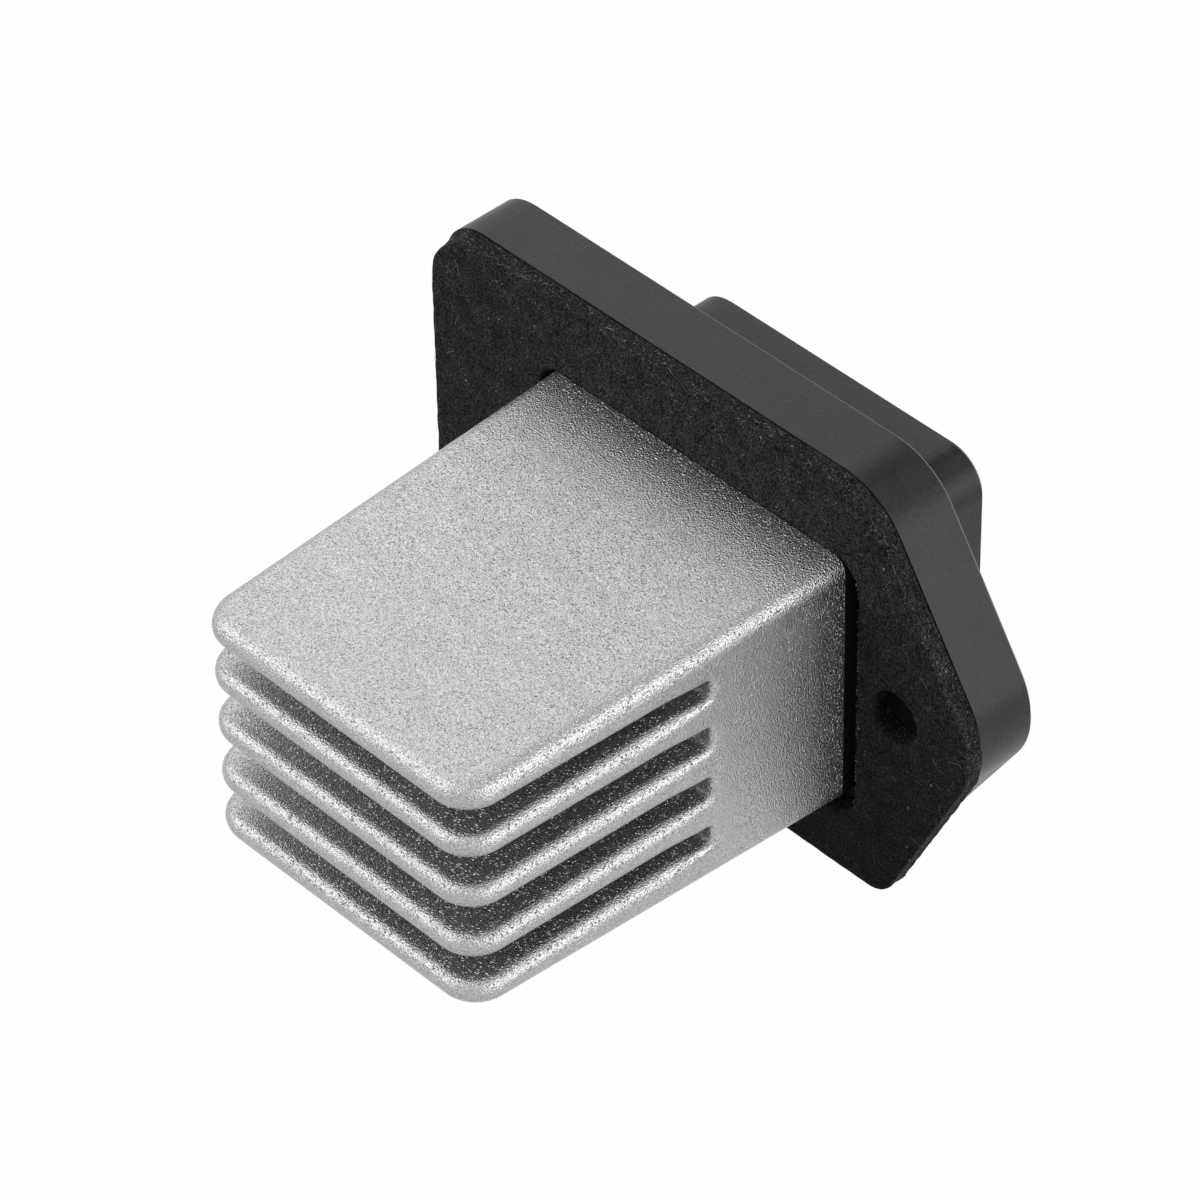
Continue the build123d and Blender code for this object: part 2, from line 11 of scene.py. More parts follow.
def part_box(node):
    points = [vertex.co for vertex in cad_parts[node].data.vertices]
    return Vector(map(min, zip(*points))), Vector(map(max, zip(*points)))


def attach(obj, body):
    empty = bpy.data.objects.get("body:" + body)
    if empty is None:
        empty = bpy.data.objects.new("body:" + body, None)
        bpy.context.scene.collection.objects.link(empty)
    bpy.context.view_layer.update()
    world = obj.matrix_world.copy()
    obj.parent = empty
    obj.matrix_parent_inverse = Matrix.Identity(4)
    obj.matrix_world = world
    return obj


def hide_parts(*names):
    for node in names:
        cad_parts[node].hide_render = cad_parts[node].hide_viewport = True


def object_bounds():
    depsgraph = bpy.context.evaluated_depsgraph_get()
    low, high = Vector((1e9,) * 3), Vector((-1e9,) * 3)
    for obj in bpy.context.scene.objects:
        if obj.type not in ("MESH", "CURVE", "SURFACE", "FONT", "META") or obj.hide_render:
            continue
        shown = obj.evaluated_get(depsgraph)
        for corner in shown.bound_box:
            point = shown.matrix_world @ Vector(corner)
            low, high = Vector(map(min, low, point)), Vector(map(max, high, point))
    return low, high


# Blower motor resistor: finned cast heat sink, foam gasket, black housing and the electronics inside.
# Sizes in the dictionaries are millimetres in the part's own frame; meshes are put down in metres.

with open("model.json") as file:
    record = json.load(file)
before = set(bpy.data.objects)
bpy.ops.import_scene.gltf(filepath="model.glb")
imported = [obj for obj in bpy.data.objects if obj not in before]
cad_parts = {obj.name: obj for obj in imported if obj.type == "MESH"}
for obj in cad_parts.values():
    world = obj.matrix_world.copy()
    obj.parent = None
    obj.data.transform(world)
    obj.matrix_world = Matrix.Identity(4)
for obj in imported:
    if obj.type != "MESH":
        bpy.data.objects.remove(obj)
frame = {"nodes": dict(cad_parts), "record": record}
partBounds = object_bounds()
mm = 0.001
sameSpot = 2e-6  # points nearer than this are one, in metres
noLength = 1e-7
fillTolerance = 1e-6  # in millimetres
print("frame loaded:", len(frame["nodes"]), "nodes")


# Lowest and highest corner of a node, in millimetres.
def nodeBox(node):
    low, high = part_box(node)
    return np.array(low) / mm, np.array(high) / mm


# Adds up sine waves that run in random directions: a smooth, even noise between about -1 and 1.
def ripple(points, waveLength, seed, waves=14, shorter=0.6, longer=1.5):
    random = np.random.default_rng(seed)
    directions = random.normal(size=(waves, points.shape[-1]))
    directions *= 2 * math.pi / waveLength / np.linalg.norm(directions, axis=1, keepdims=True)
    directions *= random.uniform(shorter, longer, (waves, 1))
    phases = random.uniform(0, 2 * math.pi, waves)
    return np.sin(points @ directions.T + phases).sum(axis=-1) / math.sqrt(2 * waves)


# Puts points (n, 3) and faces into a mesh, turns the faces out and links the piece.
# With merge, the points that neighbours share become one.
def newPiece(name, points, faces, merge):
    mesh = bpy.data.meshes.new(name)
    mesh.from_pydata((points * mm).tolist(), [], faces)
    shape = bmesh.new()
    shape.from_mesh(mesh)
    if merge:
        bmesh.ops.remove_doubles(shape, verts=shape.verts, dist=sameSpot)
        bmesh.ops.dissolve_degenerate(shape, edges=shape.edges, dist=noLength)
    bmesh.ops.recalc_face_normals(shape, faces=shape.faces)
    openEdges = sum(1 for edge in shape.edges if not edge.is_manifold)
    shape.to_mesh(mesh)
    shape.free()
    mesh.shade_smooth()
    piece = bpy.data.objects.new(name, mesh)
    bpy.context.scene.collection.objects.link(piece)
    print(name, "points", len(mesh.vertices), "open edges", openEdges)
    return piece


# Joins grids and loose flat fills in one piece. A grid is an array (rows, columns, 3) whose neighbours
# span the faces; a fill is its points and its triangles.
def buildPiece(name, grids, fills):
    points, faces, start = [], [], 0
    for grid in grids:
        rows, columns = grid.shape[:2]
        index = start + np.arange(rows * columns).reshape(rows, columns)
        quads = np.stack([index[:-1, :-1], index[1:, :-1], index[1:, 1:], index[:-1, 1:]], axis=-1)
        points.append(grid.reshape(-1, 3))
        faces += quads.reshape(-1, 4).tolist()
        start += rows * columns
    for corners, triangles in fills:
        points.append(corners)
        faces += (triangles + start).tolist()
        start += len(corners)
    return newPiece(name, np.concatenate(points), faces, True)


# Corners sharper than the angle stay sharp; elsewhere the broad faces set the direction of small rounds
# beside them.
def shadeByArea(piece, degrees):
    piece.data.set_sharp_from_angle(angle=math.radians(degrees))
    weights = piece.modifiers.new("areaNormals", "WEIGHTED_NORMAL")
    weights.mode = "FACE_AREA"
    weights.keep_sharp = True


# Fills a flat outline that may have holes; the loops are arrays (n, 2), and extra points make the fill finer.
def flatFill(outline, holes, extra=None):
    loops = [outline, *holes]
    points = np.concatenate(loops if extra is None else loops + [extra])
    edges, start = [], 0
    for loop in loops:
        index = np.arange(start, start + len(loop))
        edges += np.stack([index, np.roll(index, -1)], axis=1).tolist()
        start += len(loop)
    filled = delaunay_2d_cdt([Vector(p) for p in points], edges, [], 0, fillTolerance)
    corners, triangles = np.array([tuple(p) for p in filled[0]]), np.array(filled[2])
    middle = corners[triangles].mean(axis=1)
    keep = insideLoop(middle, outline)
    for hole in holes:
        keep &= ~insideLoop(middle, hole)
    return corners, triangles[keep]


# A point is inside a loop when a ray from it crosses the loop an odd number of times.
def insideLoop(points, loop):
    x, y = points[:, 0, None], points[:, 1, None]
    ax, ay = loop.T
    bx, by = np.roll(loop, -1, axis=0).T
    crosses = (ay > y) != (by > y)
    level = np.where(by == ay, 1, by - ay)
    return (crosses & (x < ax + (y - ay) * (bx - ax) / level)).sum(axis=1) % 2 == 1


# Points at equal turns round a centre, a radius away from it.
def circleLoop(x, z, radius, count):
    turn = np.arange(count) * 2 * math.pi / count
    return np.stack([x + radius * np.cos(turn), z + radius * np.sin(turn)], axis=1)


# Heat sink

heatSink = {
    "sideTaper": 1.5,  # each side, from base to tip
    "topTaper": 1.4,
    "cornerRadius": 3.6,  # tip corners seen from above
    "longEdge": 1.55,  # round on the outer edges of the top and bottom
    "finEdge": 1.1,  # round along the fins' edges
    "endEdge": 0.65,  # tighter round at the slots' closed ends
    "endBlend": 5.0,
    "finThickness": 2.35,
    "innerGap": 3.3,
    "outerGap": 2.9,
    "gapDraft": 0.9,  # degrees
    "gapDepth": 27.0,
    "gapCorner": 0.6,
    "lineBehind": 1.2,  # from the slots' ends to the line where the solid block begins
    "holes": [(-12.0, 0.0, 1.5, 6.5), (12.0, 0.0, 1.5, 6.5)],  # x, z, radius, depth
    "tabHole": (1.55, 7.0),  # radius and depth of the hole for the tab's screw
    "holePoints": 24,
    "acrossSteps": 36,
    "alongSteps": 26,
    "roundSteps": 5,
    "blockSteps": 8,
    "lineSteps": 3,
    "bandSteps": 6,  # over the height of a fin's outer face
    "rootSteps": 5,  # round the corner at a slot's root
    "rootPoints": 2,  # on the flat between the two corners
    "sharpAngle": 50,
}
leftPlan, leftPoint = np.array([-1, 1]), np.array([-1, 1, 1])  # times these, a place on the right goes left


# The plan outline, with a round at its upper and lower edge, gives the outside. Each slot is a closed loop
# on that outline, rounded inwards by a quarter circle, and rows straight across join its two sides.
def heatSinkGrids(size):
    low, high = nodeBox("heat_sink")
    baseX, baseY, baseZ, tipY = high[0], high[1], high[2], low[1]
    length = baseY - tipY
    lean = math.atan2(size["sideTaper"], length)
    radius, fin, edge = size["cornerRadius"], size["finEdge"], size["longEdge"]
    rootY = tipY + size["gapDepth"]
    endY = rootY - size["gapCorner"]  # where the slot's root corner begins
    lineY = rootY + fin + size["lineBehind"]
    centreY = tipY + radius
    centreX = baseX - size["sideTaper"] + radius * math.tan(lean) - radius / math.cos(lean)

    # Half of the plan outline: down the right side, then round the tip corner
    arcStartY = centreY - radius * math.sin(lean)
    blockY = np.linspace(baseY, lineY, size["blockSteps"] + 1)
    zoneY = np.linspace(lineY, endY, size["lineSteps"] + 1)
    finY = np.linspace(endY, arcStartY, size["alongSteps"])
    sideY = np.concatenate([blockY[:-1], zoneY[:-1], finY])
    sideX = baseX - (baseY - sideY) * math.tan(lean)
    side = np.stack([sideX, sideY], axis=1)
    sideOut = np.tile([math.cos(lean), -math.sin(lean)], (len(side), 1))
    turn = np.linspace(-lean, -math.pi / 2, 2 * size["roundSteps"] + 1)[1:]
    arcOut = np.stack([np.cos(turn), np.sin(turn)], axis=1)
    arc = np.array([centreX, centreY]) + radius * arcOut
    half, halfOut = np.concatenate([side, arc]), np.concatenate([sideOut, arcOut])
    frontX = np.linspace(centreX, -centreX, size["acrossSteps"] + 1)[1:-1]
    front = np.stack([frontX, np.full(len(frontX), tipY)], axis=1)
    frontOut = np.tile([0.0, -1.0], (len(front), 1))
    path = np.concatenate([half, front, half[::-1] * leftPlan])
    out = np.concatenate([halfOut, frontOut, halfOut[::-1] * leftPlan])
    zoneStart, finStart = len(blockY) - 1, len(blockY) + len(zoneY) - 2
    count = len(path)

    def onPath(plan, z):  # plan points and their heights as one array of points
        plan, z = np.broadcast_arrays(plan, np.asarray(z)[..., None])
        return np.concatenate([plan, z[..., :1]], axis=-1)

    def topZ(y):
        return baseZ - size["topTaper"] * (baseY - y) / length

    def across(right):  # straight rows from each point on the right to its mirror point on the left
        share = np.linspace(0, 1, size["acrossSteps"] + 1)[None, :, None]
        return right[:, None] * (1 - share) + right[:, None] * leftPoint * share

    round90 = np.linspace(0, math.pi / 2, size["roundSteps"] + 1)
    grids = []

    # Long edges: a quarter round carried along the outline, then the flat top and bottom between them
    for up in (1, -1):
        plan = path[:, None] - edge * out[:, None] * (1 - np.cos(round90))[None, :, None]
        plan[..., 1] = np.minimum(plan[..., 1], baseY)
        z = topZ(plan[..., 1]) - edge * (1 - np.sin(round90))
        z[:, 0] = topZ(path[:, 1]) - edge
        grids.append(onPath(plan, up * z))
        inner = grids[-1][: len(half), -1]
        grids.append(across(inner))

    # Slot walls: centre, half gap at a height y, and the closed mouth of each slot
    slots = []
    step = size["finThickness"] / 2
    innerCentre = step + size["innerGap"] / 2
    outerCentre = step + size["innerGap"] + size["finThickness"] + size["outerGap"] / 2
    for centre, gap in ((innerCentre, size["innerGap"]), (outerCentre, size["outerGap"])):
        slots += [(centre, gap), (-centre, gap)]
    slots.sort()
    slope = math.tan(math.radians(size["gapDraft"]))

    def halfGap(gap, y):
        return gap / 2 - slope * (y - tipY)

    def rimRound(y):  # eases from the fins' round to the one at the slots' ends
        share = np.clip((y - endY) / size["endBlend"] + 1, 0, 1)
        return fin + (size["endEdge"] - fin) * share**2 * (3 - 2 * share)

    wall = path[finStart : count - finStart]  # the part of the outline that the slots cut through
    wallOut = out[finStart : count - finStart]
    tangent = np.array([-math.sin(lean), -math.cos(lean)])  # down the right side, towards the tip
    corner = np.linspace(0, math.pi / 2, size["rootSteps"] + 1)
    for centre, gap in slots:
        endHalf = halfGap(gap, endY)
        # Slot end on the right side, from the upper wall round the root to the lower wall
        reach = size["gapCorner"] * np.sin(corner)[1:]
        drop = size["gapCorner"] * (1 - np.cos(corner))[1:]
        flatHalf = endHalf - size["gapCorner"]
        flat = np.linspace(flatHalf, -flatHalf, size["rootPoints"] + 2)[1:-1]
        endZ = np.concatenate([[endHalf], endHalf - drop, flat, (drop - endHalf)[::-1], [-endHalf]])
        flatAt = np.full(size["rootPoints"], size["gapCorner"])
        endAt = np.concatenate([[0], reach, flatAt, reach[::-1], [0]])
        turnIn = np.concatenate([corner, [math.pi / 2] * size["rootPoints"], math.pi - corner[::-1]])
        endPlan = wall[0] - tangent * endAt[:, None]
        endIn = np.concatenate([tangent * np.sin(turnIn)[:, None], -np.cos(turnIn)[:, None]], axis=1)
        endOut = np.tile(wallOut[0], (len(endZ), 1))
        # The closed loop: upper wall from left to right, right end, lower wall back, left end
        upZ = halfGap(gap, wall[::-1, 1])
        wallIn = np.tile([0.0, 0.0, -1.0], (len(wall), 1))
        leftEnd = (endPlan * leftPlan)[::-1][1:-1]
        plan = np.concatenate([wall[::-1], endPlan[1:-1], wall, leftEnd, wall[-1:]])
        z = np.concatenate([upZ, endZ[1:-1], -upZ[::-1], endZ[::-1][1:-1], upZ[:1]])
        leftOut, leftIn = endOut[1:-1] * leftPlan, (endIn * leftPoint)[::-1][1:-1]
        outward = np.concatenate([wallOut[::-1], endOut[1:-1], wallOut, leftOut, wallOut[-1:]])
        inward = np.concatenate([wallIn, endIn[1:-1], -wallIn, leftIn, wallIn[:1]])
        loop = onPath(plan, centre + z)
        out3 = np.concatenate([outward, np.zeros((len(outward), 1))], axis=1)
        back = (1 - np.cos(round90))[None, :, None]
        aside = (1 - np.sin(round90))[None, :, None]
        rim = rimRound(loop[:, 1])[:, None, None]
        mouth = loop[:, None] - rim * out3[:, None] * back - rim * inward[:, None] * aside
        grids.append(mouth)
        # Inside of the slot: rows across, from the front of the upper wall to the front of the lower wall
        upper = mouth[len(arc) + len(finY) + len(front) - 1 : len(wall), -1]
        lowerStart = len(wall) + len(endPlan) - 2
        ends = mouth[len(wall) : lowerStart, -1]
        lower = mouth[lowerStart : lowerStart + len(arc) + len(finY), -1]
        grids.append(across(np.concatenate([upper, ends, lower])))
        # Side surface between the slot's end and the line behind it
        endRim = mouth[len(wall) - 1 : lowerStart + 1, 0]
        lineX = baseX - (baseY - lineY) * math.tan(lean)
        line = np.stack([np.full(len(endRim), lineX), np.full(len(endRim), lineY),
                         np.linspace(endRim[0, 2], endRim[-1, 2], len(endRim))], axis=1)
        share = np.linspace(0, 1, len(zoneY))[:, None, None]
        patch = endRim[None] * (1 - share) + line[None] * share
        grids += [patch, patch * leftPoint]

    # Outer faces of the five fins, from one side round the tip to the other
    band = path[zoneStart : count - zoneStart]
    bandY = np.minimum(band[:, 1], endY)
    outerZ = topZ(band[:, 1]) - edge
    borders = [-outerZ]
    for centre, gap in slots:
        reach = halfGap(gap, bandY) + rimRound(bandY)
        borders += [centre - reach, centre + reach]
    borders.append(outerZ)
    columns = []
    for lower, upper in zip(borders[::2], borders[1::2]):
        share = np.linspace(0, 1, size["bandSteps"] + 1)
        z = lower[:, None] * (1 - share) + upper[:, None] * share
        grids.append(onPath(np.repeat(band[:, None], len(share), axis=1), z))
        columns.append(z[0])
    # Side of the solid block behind the fins; its columns are those of the fins and of the slots' ends
    lineZ = []
    for k, z in enumerate(columns):
        lineZ.append(z)
        if k < len(slots):
            lineZ.append(np.linspace(z[-1], columns[k + 1][0], len(endRim))[1:-1])
    lineZ = np.concatenate(lineZ)
    blockScale = (topZ(blockY) - edge) / (topZ(lineY) - edge)
    blockPlan = np.repeat(path[: len(blockY), None], len(lineZ), axis=1)
    block = onPath(blockPlan, lineZ[None] * blockScale[:, None])
    grids += [block, block * leftPoint]

    # Base with its blind holes
    topRow, bottomRow = grids[1][0], grids[3][0]
    topRound, bottomRound = grids[0][0], grids[2][0]
    rightEdge = np.concatenate([bottomRound[::-1][:-1], block[0][:-1], topRound])
    leftEdge = rightEdge[::-1] * leftPoint
    outline = np.concatenate([rightEdge, topRow[1:-1], leftEdge, bottomRow[::-1][1:-1]])
    holes = []
    for x, z, holeRadius, depth in size["holes"]:
        ring = circleLoop(x, z, holeRadius, size["holePoints"])
        holes.append(ring)
        closed = np.concatenate([ring, ring[:1]])
        deep = np.stack([closed, closed, np.broadcast_to([x, z], closed.shape)])
        y = np.array([baseY, baseY - depth, baseY - depth])[:, None]
        grids.append(np.stack([deep[..., 0], np.broadcast_to(y, deep.shape[:2]), deep[..., 1]], axis=-1))
    corners, triangles = flatFill(outline[:, [0, 2]], holes)
    base = np.stack([corners[:, 0], np.full(len(corners), baseY), corners[:, 1]], axis=1)
    return grids, [(base, triangles)]


screwLow, screwHigh = nodeBox("tab_screw")
heatSink["holes"].append((0.0, (screwLow[2] + screwHigh[2]) / 2, *heatSink["tabHole"]))
sinkGrids, sinkFills = heatSinkGrids(heatSink)
finnedSink = buildPiece("finned_sink", sinkGrids, sinkFills)
shadeByArea(finnedSink, heatSink["sharpAngle"])
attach(finnedSink, "root")
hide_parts("heat_sink")
print("heat sink made")


# Foam gasket

gasket = {
    "lowSlant": 0.5,  # lean of the lower slanted edge, which is cut outside the flange's own
    "upperSlant": 0.64,
    "holeX": 24.2,
    "holeRadius": 2.5,
    "earRadius": 8.3,
    "leftCorner": 5.0,
    "topCorner": 8.0,
    "lowCorner": 3.0,
    "windowSide": 1.5,  # gaps round the heat sink
    "windowTop": -0.05,
    "windowBottom": 1.2,
    "windowCorner": 3.2,
    "spacing": 0.45,  # between points along the cut edges
    "faceSpacing": 0.8,
    "hollow": 0.1,  # how far the cut edge is drawn in
    "cornerHollow": 0.15,  # more at the top left corner
    "cornerPull": 0.55,  # how far the face is pressed in there
    "pullEase": 1.5,
    "cornerReach": 3.0,
    "edgeRound": 0.16,
    "layers": (0, 0.03, 0.09, 0.18, 0.32, 0.5, 0.68, 0.82, 0.91, 0.97, 1),  # shares of the thickness
    "arcPoints": 24,
    "holePoints": 44,
    "ragged": 0.05,
    "raggedWave": 1.6,
    "faceRipple": 0.05,
    "faceWave": 2.6,
    "scatter": 0.3,  # of the points on the faces, as a share of their spacing
    "rimGap": 0.3,
    "rimEase": 1.5,
    "edgeSeed": 10,
    "faceSeed": 4,
    "rippleSeed": 31,
}


# Each corner is an arc that touches both straight edges; the loop is then cut into equal steps.
def roundedLoop(corners, radii, spacing, arcPoints):
    stretches = []
    count = len(corners)
    for k in range(count):
        here, before, after = corners[k], corners[k - 1], corners[(k + 1) % count]
        toBefore = (before - here) / np.linalg.norm(before - here)
        toAfter = (after - here) / np.linalg.norm(after - here)
        halfAngle = math.acos(np.clip(toBefore @ toAfter, -1, 1)) / 2
        reach = radii[k] / math.tan(halfAngle)
        middle = toBefore + toAfter
        centre = here + middle / np.linalg.norm(middle) * radii[k] / math.sin(halfAngle)
        first, last = here + toBefore * reach - centre, here + toAfter * reach - centre
        sweep = math.atan2(first[0] * last[1] - first[1] * last[0], first @ last)
        turn = np.linspace(0, sweep, arcPoints)[:, None]
        arc = centre + first * np.cos(turn) + np.array([-first[1], first[0]]) * np.sin(turn)
        stretches.append(arc)
    closed = np.concatenate(stretches + [stretches[0][:1]])
    travelled = np.concatenate([[0], np.cumsum(np.linalg.norm(np.diff(closed, axis=0), axis=1))])
    steps = np.linspace(0, travelled[-1], int(travelled[-1] / spacing) + 1)[:-1]
    return np.stack([np.interp(steps, travelled, closed[:, axis]) for axis in (0, 1)], axis=1)


# Direction across a loop, to the right of its run.
def loopNormal(loop):
    run = np.roll(loop, -1, axis=0) - np.roll(loop, 1, axis=0)
    run /= np.linalg.norm(run, axis=1, keepdims=True)
    return np.stack([run[:, 1], -run[:, 0]], axis=1)


# The outer edge has five corners, the window has four, and the two holes are circles.
def gasketLoops(size):
    low, high = nodeBox("foam_gasket")
    left, bottom, top = low[0], low[2], high[2]
    tip = size["holeX"] + size["earRadius"] * math.hypot(1, size["upperSlant"])
    corners = np.array([
        (left, bottom),
        (tip + size["lowSlant"] * bottom, bottom),
        (tip, 0),
        (tip - size["upperSlant"] * top, top),
        (left, top),
    ])
    radii = [size["leftCorner"], size["lowCorner"], size["earRadius"], size["topCorner"], size["leftCorner"]]
    outer = roundedLoop(corners, radii, size["spacing"], size["arcPoints"])
    sinkLow, sinkHigh = nodeBox("heat_sink")
    x = sinkHigh[0] + size["windowSide"]
    z0, z1 = sinkLow[2] - size["windowBottom"], sinkHigh[2] + size["windowTop"]
    corners = np.array([(-x, z0), (x, z0), (x, z1), (-x, z1)])
    window = roundedLoop(corners, [size["windowCorner"]] * 4, size["spacing"], size["arcPoints"])
    holes = [circleLoop(x, 0.0, size["holeRadius"], size["holePoints"])
             for x in (-size["holeX"], size["holeX"])]
    return outer, window, holes


# How near points are to the pressed top left corner: 1 there, falling off as a bell curve.
def nearCorner(loop, size):
    low, high = nodeBox("foam_gasket")
    inwards = np.array([1, -1]) * size["leftCorner"] * (1 - math.sqrt(0.5))  # to the middle of the round
    topLeft = np.array([low[0], high[2]]) + inwards
    return np.exp(-(np.linalg.norm(loop - topLeft, axis=1) / size["cornerReach"]) ** 2)


# The cut edge is a profile carried round each loop: drawn in by a half sine through the thickness,
# rounded off at both faces, and made uneven by a ripple of its own.
def gasketGrids(size):
    low, high = nodeBox("foam_gasket")
    front, back = low[1], high[1]
    outer, window, holes = gasketLoops(size)
    through = np.array(size["layers"])
    thickness = back - front
    fromFace = np.minimum(through, 1 - through) * thickness
    soft = size["edgeRound"] * np.clip(1 - fromFace / size["edgeRound"], 0, 1) ** 2
    grids, rims = [], []
    for number, (loop, side) in enumerate([(outer, -1), (window, 1), (holes[0], 1), (holes[1], 1)]):
        across = loopNormal(loop)  # points away from the inside of the loop
        near = nearCorner(loop, size) * (number == 0)
        hollow = size["hollow"] + size["cornerHollow"] * near
        pull = size["cornerPull"] * near[:, None] * (1 - through) ** size["pullEase"]
        inset = soft[None] + hollow[:, None] * np.sin(math.pi * through) + pull
        plan = loop[:, None] + side * across[:, None] * inset[..., None]
        y = np.broadcast_to(front + thickness * through, plan.shape[:2])
        place = np.stack([plan[..., 0], y, plan[..., 1]], axis=-1)
        wave = ripple(place, size["raggedWave"], size["edgeSeed"] + number)
        uneven = size["ragged"] * np.clip(1 + wave, 0, 2)
        place[..., [0, 2]] += side * across[:, None] * uneven[..., None]
        rims.append((place[:, 0][:, [0, 2]], place[:, -1][:, [0, 2]]))
        grids.append(np.concatenate([place, place[:1]]))
    fills = []
    step = size["faceSpacing"]
    random = np.random.default_rng(size["faceSeed"])
    for face, y, push in ((0, front, 1), (1, back, 0)):
        loops = [rim[face] for rim in rims]
        x, z = np.meshgrid(np.arange(low[0], high[0], step), np.arange(low[2], high[2], step))
        moved = random.uniform(-size["scatter"], size["scatter"], (x.size, 2)) * step
        scattered = np.stack([x.ravel(), z.ravel()], axis=1) + moved
        inside = insideLoop(scattered, loops[0])
        for loop in loops[1:]:
            inside &= ~insideLoop(scattered, loop)
        scattered = scattered[inside]
        border = np.concatenate(loops)
        nearest = np.sqrt(((scattered[:, None] - border[None]) ** 2).sum(axis=2)).min(axis=1)
        clear = nearest > size["rimGap"]
        scattered, nearest = scattered[clear], nearest[clear]
        corners, triangles = flatFill(loops[0], loops[1:], scattered)
        points = np.stack([corners[:, 0], np.full(len(corners), y), corners[:, 1]], axis=1)
        lift = np.zeros(len(corners))
        lift[len(border) : len(border) + len(scattered)] = np.clip(nearest / size["rimEase"], 0, 1)
        wave = ripple(points, size["faceWave"], size["rippleSeed"]) * 0.5 + 0.5
        points[:, 1] += push * lift * size["faceRipple"] * wave
        fills.append((points, triangles))
    return grids, fills


foamGrids, foamFills = gasketGrids(gasket)
foamSheet = buildPiece("foam_sheet", foamGrids, foamFills)
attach(foamSheet, "root")
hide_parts("foam_gasket")
print("foam gasket made")


# Loose fibres that stand out of the foam: thin bent threads, each a three-sided tube closed at both ends.
threads = {
    "thickness": 0.03,
    "thicker": (0.6, 1.3),  # how much a thread's thickness differs
    "taper": 0.75,  # how much thinner its ends are
    "taperEase": 3,
    "length": (0.2, 1.7),  # the shortest, and how much longer the longest is
    "lengthEase": 3,  # more short ones than long ones
    "rise": 0.07,
    "lowRise": 0.2,  # share of the rise that each has at least
    "riseEase": 0.7,
    "sunk": 0.02,  # how deep the ends sit in the foam
    "bend": 0.22,
    "twist": 0.12,
    "points": 5,
    "seed": 9,
    "bendSeeds": (21, 22, 23),
    "edgeCount": 380,  # along the cut edges
    "edgeMargin": 0.1,
    "edgeLean": 0.35,
    "edgeShare": 0.6,  # of the length on the face
    "faceCount": 300,  # on the front face, near its rim
    "faceMargin": 0.4,
    "faceDepth": 0.03,
    "rimWidth": 3.2,
    "rimEase": 1.7,
    "windowCount": 240,  # short ones along the upright edges of the window
    "windowLength": (0.15, 0.5),
    "windowThickness": 0.045,
    "windowLean": 0.25,
    "windowInset": 0.03,
    "windowDepth": 0.07,
    "upright": 0.9,  # how far sideways an edge has to face to count as upright
}


# A thread's line is a point plus a run along the surface, a sideways arc and a rise in the middle.
# The arc is a half sine for the bend and a whole one for the twist.
def threadTubes(start, run, side, up, length, size, seed):
    random = np.random.default_rng(seed)
    count, points = len(start), size["points"]
    t = np.linspace(0, 1, points)
    bend = random.uniform(-size["bend"], size["bend"], count)[:, None]
    twist = random.uniform(-size["twist"], size["twist"], count)[:, None]
    rise = size["rise"] * random.uniform(size["lowRise"], 1, count)
    along = length[:, None] * (t - 0.5)
    aside = length[:, None] * (bend * np.sin(math.pi * t) + twist * np.sin(2 * math.pi * t))
    height = rise[:, None] * np.sin(math.pi * t) ** size["riseEase"] - size["sunk"]
    line = start[:, None] + run[:, None] * along[..., None] + side[:, None] * aside[..., None]
    line = line + up[:, None] * height[..., None]
    ring = np.arange(3) * 2 * math.pi / 3
    thin = 1 - size["taper"] * np.abs(2 * t - 1) ** size["taperEase"]
    thick = size["thickness"] * random.uniform(*size["thicker"], count)[:, None] * thin
    offset = side[:, None, None] * np.cos(ring)[:, None] + up[:, None, None] * np.sin(ring)[:, None]
    tube = line[:, :, None] + offset * thick[..., None, None]
    index = np.arange(count * points * 3).reshape(count, points, 3)
    turned = np.roll(index, -1, axis=2)
    walls = np.stack([index[:, :-1], turned[:, :-1], turned[:, 1:], index[:, 1:]], axis=-1).reshape(-1, 4)
    ends = np.concatenate([index[:, 0, ::-1], index[:, -1]])
    return tube.reshape(-1, 3), walls, ends


def inPlane(plan, y):  # plan points (x, z) at depth y as points in space
    return np.stack([plan[:, 0], np.broadcast_to(y, len(plan)), plan[:, 1]], axis=1)


def towards(x, y, z):  # directions of length 1
    run = np.stack([x, y, z], axis=1)
    return run / np.linalg.norm(run, axis=1, keepdims=True)


